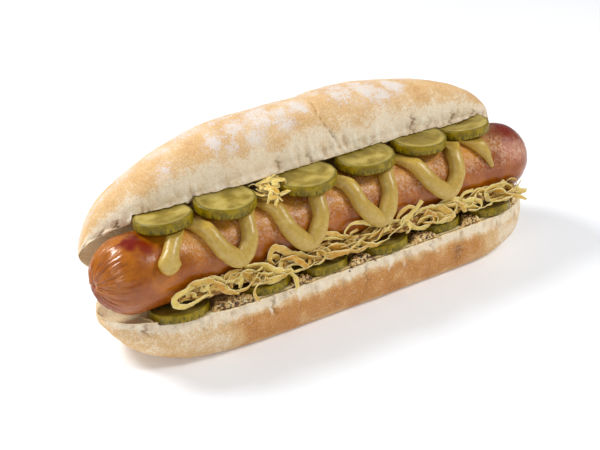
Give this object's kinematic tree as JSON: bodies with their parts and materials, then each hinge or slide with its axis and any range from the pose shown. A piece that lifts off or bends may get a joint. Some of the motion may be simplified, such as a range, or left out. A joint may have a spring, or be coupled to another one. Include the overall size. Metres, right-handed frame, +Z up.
{
  "type": "hot dog",
  "caption": "Hot dog: hinged soft roll round a smoked sausage with pickle slices, a piped mustard zigzag, sauerkraut and grain mustard.",
  "frame": {"origin": "point on the flat underside of the roll, midway along it and straight below the sausage's axis", "axes": "+X along the roll, towards its right end as seen from the open side; -Y out of the open front that shows the sausage; +Z up"},
  "size_m": [0.2036, 0.0769, 0.0775],
  "materials": {
    "crust": "matte, floured, softly browned",
    "sausage_skin": "glossy, smoked and grilled",
    "mustard": "smooth, moist",
    "grain_mustard": "moist, with whole seeds",
    "sauerkraut": "moist, slightly see-through shreds",
    "pickle": "moist slices with darker skin"
  },
  "bodies": {
    "root": {"roll": "crust", "sausage": "sausage_skin", "mustard": "mustard", "grain_mustard": "grain_mustard", "sauerkraut": "sauerkraut", "sauerkraut_tuft": "sauerkraut", "pickle_upper_1": "pickle", "pickle_upper_2": "pickle", "pickle_upper_3": "pickle", "pickle_upper_4": "pickle", "pickle_upper_5": "pickle", "pickle_upper_6": "pickle", "pickle_lower_1": "pickle", "pickle_lower_2": "pickle", "pickle_lower_3": "pickle", "pickle_lower_4": "pickle", "pickle_lower_5": "pickle", "pickle_lower_6": "pickle"}
  },
  "joints": []
}
